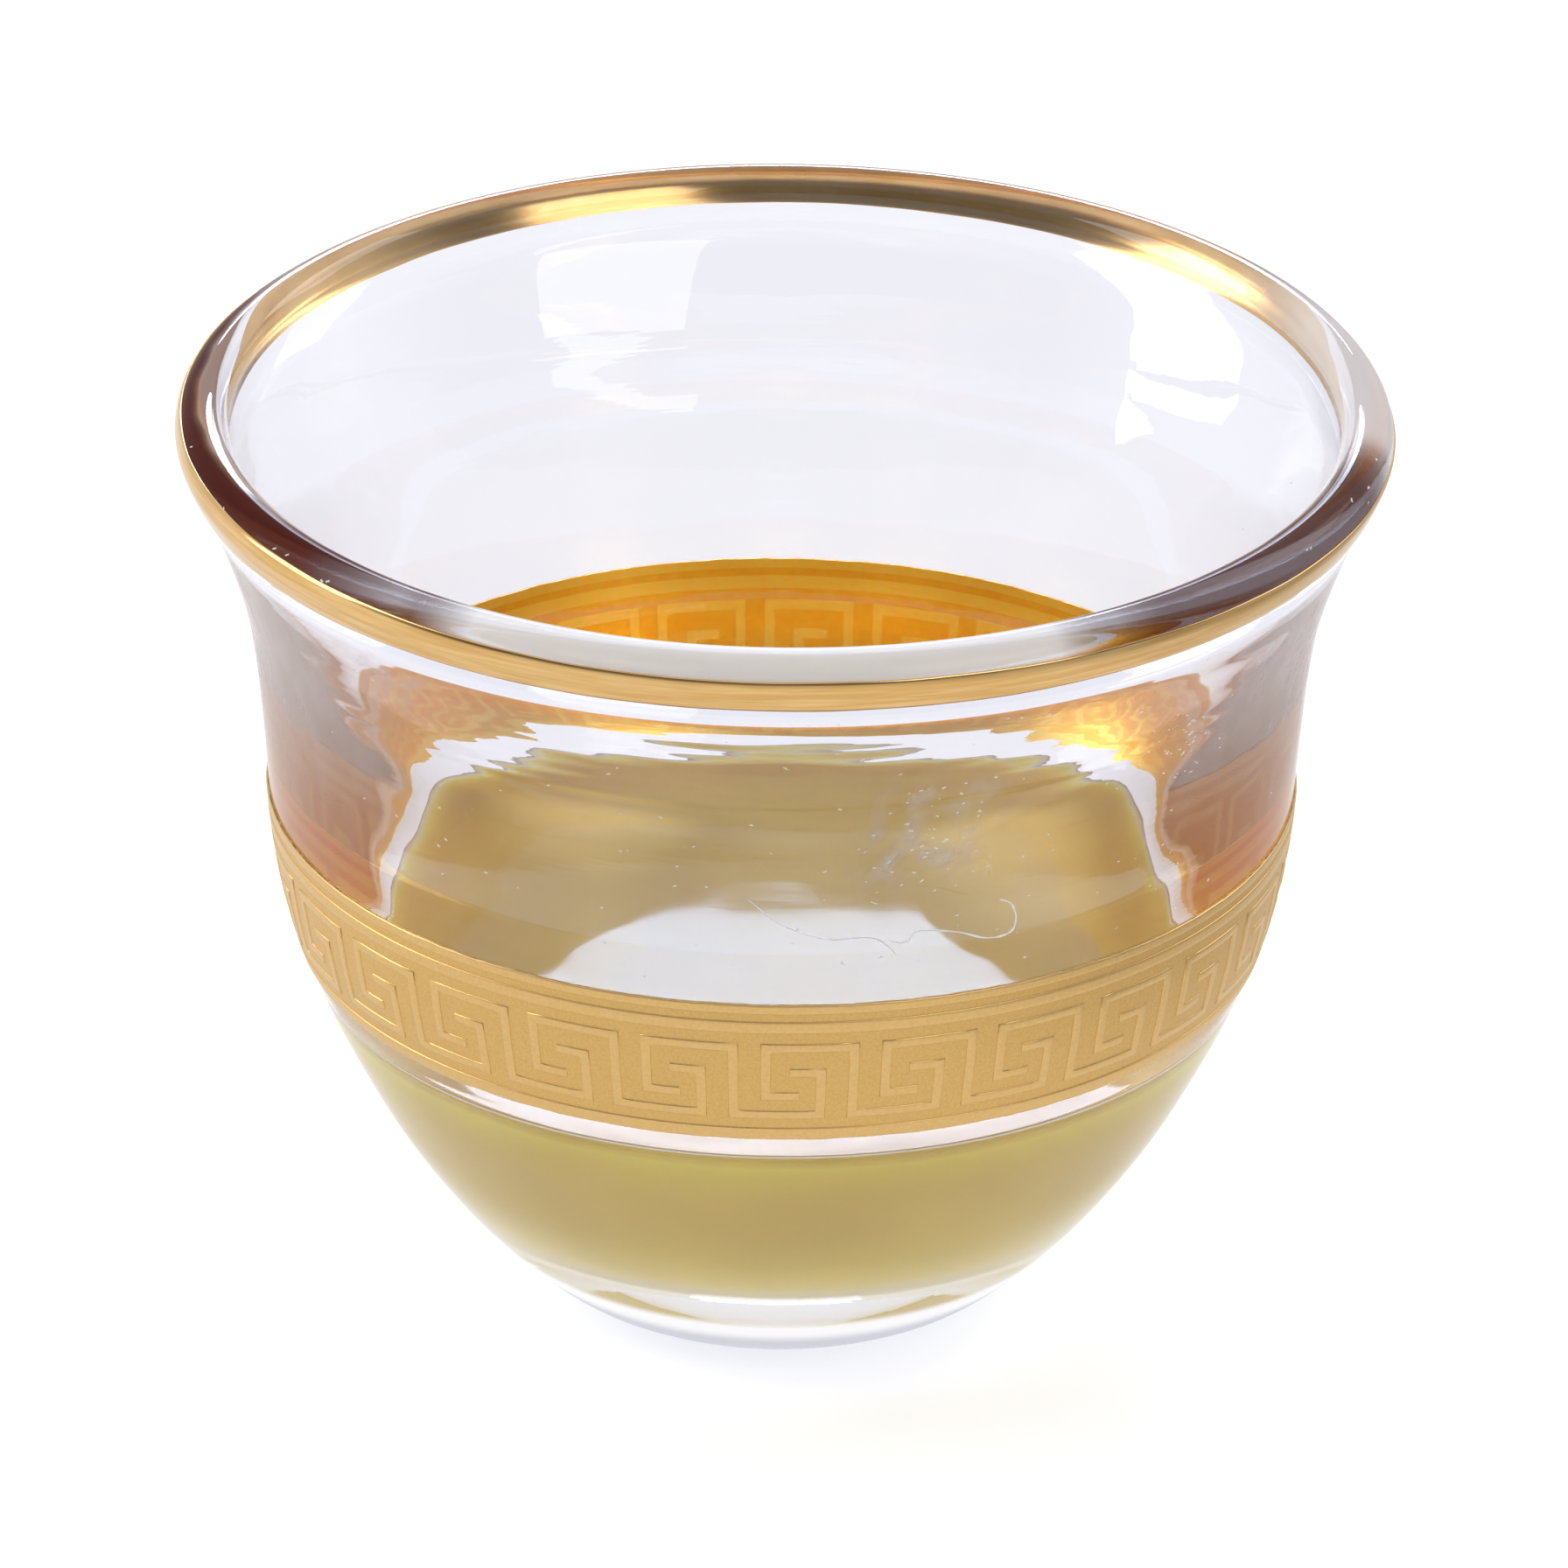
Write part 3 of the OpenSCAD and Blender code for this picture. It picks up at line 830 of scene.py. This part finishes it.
# Arabic coffee: light roast with cardamom, cloudy, matt olive yellow under a wet skin
def coffeeMaterial():
    material, tree, shader = startMaterial("cloudyLightCoffee")
    shader.inputs["Roughness"].default_value = coffee["roughness"]
    shader.inputs["IOR"].default_value = coffee["ior"]
    shader.inputs["Subsurface Weight"].default_value = 1.0
    shader.inputs["Subsurface Radius"].default_value = (1.0, 0.85, 0.45)
    shader.inputs["Subsurface Scale"].default_value = coffee["scatterMm"] * mm
    place = addNode(tree, "ShaderNodeTexCoord")
    height = addNode(tree, "ShaderNodeSeparateXYZ", {}, {"Vector": place.outputs["Object"]})
    # the glass holds part of the light in, so the side is lighter than it looks through the wall
    side = addNode(tree, "ShaderNodeMapRange",
                   {"From Min": 18.0 * mm, "From Max": 18.6 * mm}, {"Value": height.outputs["Z"]})
    tone = addNode(tree, "ShaderNodeMix",
                   {"data_type": "RGBA", "A": hexToLinear(coffee["atGlass"]),
                    "B": hexToLinear(coffee["colour"])}, {"Factor": side.outputs["Result"]})
    # the grounds hang in it in soft clouds, seen mostly from above
    cloud = addNode(tree, "ShaderNodeTexNoise", {"Scale": 1 / (coffee["cloudMm"] * mm),
                                                 "Detail": 1.5},
                    {"Vector": place.outputs["Object"]})
    cloudy = addNode(tree, "ShaderNodeMapRange",
                     {"From Min": 0.35, "From Max": 0.65, "To Min": 0.0, "To Max": 0.42},
                     {"Value": cloud.outputs["Fac"]})
    onTop = addNode(tree, "ShaderNodeMapRange", {"To Min": 0.3}, {"Value": side.outputs["Result"]})
    cloudiness = addNode(tree, "ShaderNodeMath", {"operation": "MULTIPLY"},
                         {0: cloudy.outputs["Result"], 1: onTop.outputs["Result"]})
    mottled = addNode(tree, "ShaderNodeMix",
                      {"data_type": "RGBA", "B": hexToLinear(coffee["deeper"])},
                      {"Factor": cloudiness.outputs["Value"], "A": tone.outputs["Result"]})
    # paler patches, where the light that comes in through the back of the wall falls
    colour = mottled.outputs["Result"]
    for patchX, patchY in coffee["palePatches"]:
        away = addNode(tree, "ShaderNodeVectorMath",
                       {"operation": "DISTANCE",
                        1: (patchX * mm, patchY * mm, coffee["level"] * mm)},
                       {0: place.outputs["Object"]})
        patch = addNode(tree, "ShaderNodeMapRange",
                        {"From Min": coffee["patchMm"][0] * mm,
                         "From Max": coffee["patchMm"][1] * mm,
                         "To Min": 0.75, "To Max": 0.0, "interpolation_type": "SMOOTHSTEP"},
                        {"Value": away.outputs["Value"]})
        colour = addNode(tree, "ShaderNodeMix",
                         {"data_type": "RGBA", "B": hexToLinear(coffee["pale"])},
                         {"Factor": patch.outputs["Result"], "A": colour}).outputs["Result"]
    tree.links.new(colour, shader.inputs["Base Color"])
    return material


coffeeOutline = [(0.0, insideCurve[-1][0] - coffee["overlap"])]
for z, r in insideCurve[::-1][1:]:
    if z < coffee["level"] + coffee["meniscus"] - 0.3:
        coffeeOutline.append((r + coffee["overlap"], z - coffee["overlap"] * 0.3))
edgeLevel = coffee["level"] + coffee["meniscus"]
edgeRadius = radiusOn(insideCurve, edgeLevel)
coffeeOutline.append((edgeRadius + coffee["overlap"], edgeLevel))
for k in range(1, coffee["meniscusRows"] + 1):
    t = k / coffee["meniscusRows"]
    coffeeOutline.append((edgeRadius - coffee["meniscusRun"] * t ** 1.3,
                          coffee["level"] + coffee["meniscus"] * math.exp(-3.6 * t)
                          * (1 - t ** 3)))
atGlass = len(coffeeOutline)
coffeeOutline += [(edgeRadius * share, coffee["level"]) for share in (0.85, 0.6, 0.3, 0.0)]


def waveCoffee(i, angle, radius, height):
    if i < atGlass and radius > 0.5:
        radius += insideWave(angle, height)
    return radius, height


points, faces = lathe(coffeeOutline, False, cup["segments"], waveCoffee)
meshPiece("coffee", points, faces, [coffeeMaterial()])


print("Coffee cup: floor, light and camera")
# distances in metres
paper = {
    "colour": "#f8f8f8",
    "cameraLift": 0.3,           # so that it runs into the backdrop
    "inGold": "#fbfaf8", "goldSees": 0.85,
    "inGlass": "#f5f5fd", "glassSees": 0.7,
    "frontEdge": (-0.26, -0.08), "frontStrengths": (0.22, 1.05),
    "rightEdge": (0.03, 0.1), "rightStrengths": (1.0, 0.42),
    "half": 3, "below": 0.00002,
}


# Matt white paper: the camera sees it a little brighter, the glass shows it as it shows the
# backdrop, and the gold sees it with painted shade, darker in front and at the right
def paperMaterial():
    material, tree, shader = startMaterial("whitePaper")
    shader.inputs["Base Color"].default_value = hexToLinear(paper["colour"])
    shader.inputs["Roughness"].default_value = 0.8
    shader.inputs["Emission Color"].default_value = (1.0, 1.0, 1.0, 1.0)
    path = addNode(tree, "ShaderNodeLightPath")
    lift = addNode(tree, "ShaderNodeMath", {"operation": "MULTIPLY", 1: paper["cameraLift"]},
                   {0: path.outputs["Is Camera Ray"]})
    tree.links.new(lift.outputs["Value"], shader.inputs["Emission Strength"])
    spot = addNode(tree, "ShaderNodeNewGeometry")
    where = addNode(tree, "ShaderNodeSeparateXYZ", {}, {"Vector": spot.outputs["Position"]})
    edges = []
    for axis, side in (("Y", "front"), ("X", "right")):
        near, far = paper[side + "Edge"]
        first, last = paper[side + "Strengths"]
        edges.append(addNode(tree, "ShaderNodeMapRange",
                             {"From Min": near, "From Max": far, "To Min": first, "To Max": last,
                              "interpolation_type": "SMOOTHSTEP"},
                             {"Value": where.outputs[axis]}).outputs["Result"])
    tableSeen = addNode(tree, "ShaderNodeMath", {"operation": "MULTIPLY"},
                        {0: edges[0], 1: edges[1]})
    inGold = addNode(tree, "ShaderNodeEmission", {"Color": hexToLinear(paper["inGold"])},
                     {"Strength": tableSeen.outputs["Value"]})
    inGlass = addNode(tree, "ShaderNodeEmission", {"Color": hexToLinear(paper["inGlass"])})
    seenByGold = addNode(tree, "ShaderNodeMath", {"operation": "MULTIPLY", 1: paper["goldSees"]},
                         {0: path.outputs["Is Glossy Ray"]})
    seenByGlass = addNode(tree, "ShaderNodeMath",
                          {"operation": "MULTIPLY", 1: paper["glassSees"]},
                          {0: path.outputs["Is Transmission Ray"]})
    goldMix = addNode(tree, "ShaderNodeMixShader", {},
                      {0: seenByGold.outputs["Value"], 1: shader.outputs["BSDF"],
                       2: inGold.outputs["Emission"]})
    paperMix = addNode(tree, "ShaderNodeMixShader", {},
                       {0: seenByGlass.outputs["Value"], 1: goldMix.outputs["Shader"],
                        2: inGlass.outputs["Emission"]})
    tree.links.new(paperMix.outputs["Shader"], tree.nodes["Material Output"].inputs["Surface"])
    return material


mesh = bpy.data.meshes.new("floor")
corners = [(x * paper["half"], y * paper["half"], -paper["below"])
           for x, y in ((-1, -1), (1, -1), (1, 1), (-1, 1))]
mesh.from_pydata(corners, [], [(0, 1, 2, 3)])
mesh.materials.append(paperMaterial())
floor = bpy.data.objects.new("floor", mesh)
bpy.context.scene.collection.objects.link(floor)

light = {
    "sky": "#f4f5ff",
    "skyStrength": 0.95,
    "roomStrength": 0.17,        # the darker room behind the camera, seen in the metal
    "darkRight": 0.08,           # how far the dark part of the room turns to the right
    "throughGlass": "#f4f5fd",   # backdrop as the clear glass passes it on
}
world = bpy.data.worlds.new("studio")
bpy.context.scene.world = world
world.use_nodes = True
tree = world.node_tree
direction = addNode(tree, "ShaderNodeTexCoord")
split = addNode(tree, "ShaderNodeSeparateXYZ", {}, {"Vector": direction.outputs["Generated"]})
across = addNode(tree, "ShaderNodeMath", {"operation": "MULTIPLY", 1: light["darkRight"]},
                 {0: split.outputs["X"]})
turned = addNode(tree, "ShaderNodeMath", {"operation": "SUBTRACT"},
                 {0: split.outputs["Y"], 1: across.outputs["Value"]})
frontness = addNode(tree, "ShaderNodeMapRange",
                    {"From Min": -0.5, "From Max": 0.25, "To Min": light["roomStrength"],
                     "To Max": 1.0, "interpolation_type": "SMOOTHSTEP"},
                    {"Value": turned.outputs["Value"]})
overhead = addNode(tree, "ShaderNodeMapRange",
                   {"From Min": 0.45, "From Max": 0.8, "To Min": 0.0, "To Max": 1.0,
                    "interpolation_type": "SMOOTHSTEP"}, {"Value": split.outputs["Z"]})
brightness = addNode(tree, "ShaderNodeMath", {"operation": "MAXIMUM"},
                     {0: frontness.outputs["Result"], 1: overhead.outputs["Result"]})
path = addNode(tree, "ShaderNodeLightPath")
skyColour = [c * light["skyStrength"] for c in hexToLinear(light["sky"])[:3]] + [1.0]
tint = addNode(tree, "ShaderNodeMix",
               {"data_type": "RGBA", "A": skyColour, "B": hexToLinear(light["throughGlass"])},
               {"Factor": path.outputs["Is Transmission Ray"]})
studio = addNode(tree, "ShaderNodeVectorMath", {"operation": "SCALE"},
                 {0: tint.outputs["Result"], "Scale": brightness.outputs["Value"]})
backdrop = addNode(tree, "ShaderNodeMix", {"data_type": "RGBA", "B": (1.0, 1.0, 1.0, 1.0)},
                   {"Factor": path.outputs["Is Camera Ray"], "A": studio.outputs["Vector"]})
tree.links.new(backdrop.outputs["Result"], tree.nodes["Background"].inputs["Color"])


# radiance 1 is the white of the backdrop
def softLamp(name, place, aim, size, radiance, colour="#ffffff", shape="RECTANGLE"):
    data = bpy.data.lights.new(name, "AREA")
    data.shape = shape
    data.size, data.size_y = size
    area = size[0] * size[1] * (math.pi / 4 if shape == "ELLIPSE" else 1)
    data.energy = radiance * math.pi * area
    data.color = hexToLinear(colour)[:3]
    lamp = bpy.data.objects.new(name, data)
    bpy.context.scene.collection.objects.link(lamp)
    lamp.location = place
    lamp.rotation_euler = (Vector(aim) - Vector(place)).to_track_quat("-Z", "Y").to_euler()
    lamp.visible_camera = False


softLamp("leftSoftbox", (-0.34, 0.03, 0.2), (0, 0, 0.03), (0.2, 0.34), 3.0)
softLamp("rightSoftbox", (0.5, 0.35, 0.5), (0, 0, 0.025), (0.3, 0.4), 2.2)
softLamp("frontSoftbox", (0.21, -0.27, 0.22), (0, 0, 0.04), (0.22, 0.2), 2.2)
# the cool light behind the cup, whose mirror image lies on the coffee, and a dimmer one under it
softLamp("backSoftbox", (0, 0.52, 0.249), (0, 0.025, 0.0335), (0.182, 0.055), 17.0, "#c2dcfc",
         "ELLIPSE")
softLamp("lowSoftbox", (0, 0.54, 0.19), (0, 0.0, 0.0187), (0.21, 0.075), 5.0, "#e8eeff")

# 0.70 m from the lip, framed as the photograph
view = {
    "place": (0.0, -0.640, 0.3432),
    "downDegrees": 26.19,
    "rollDegrees": 0.61,
    "lensMm": 307.2,
    "sensorMm": 36.0,
    "middlePx": 893.1, "framePx": 1792,      # where the cup's axis lies across the frame
}
cameraData = bpy.data.cameras.new("camera")
camera = bpy.data.objects.new("camera", cameraData)
bpy.context.scene.collection.objects.link(camera)
camera.location = view["place"]
tilt = math.radians(view["downDegrees"])
lookDown = Vector((0, math.cos(tilt), -math.sin(tilt))).to_track_quat("-Z", "Y")
camera.rotation_mode = "QUATERNION"
camera.rotation_quaternion = lookDown @ Quaternion((0, 0, 1), math.radians(view["rollDegrees"]))
cameraData.sensor_width = view["sensorMm"]
cameraData.lens = view["lensMm"]
cameraData.shift_x = (view["framePx"] / 2 - view["middlePx"]) / view["framePx"]
cameraData.clip_start = 0.01
bpy.context.scene.camera = camera
bpy.context.scene.view_settings.view_transform = "Standard"

print("Coffee cup: ready")
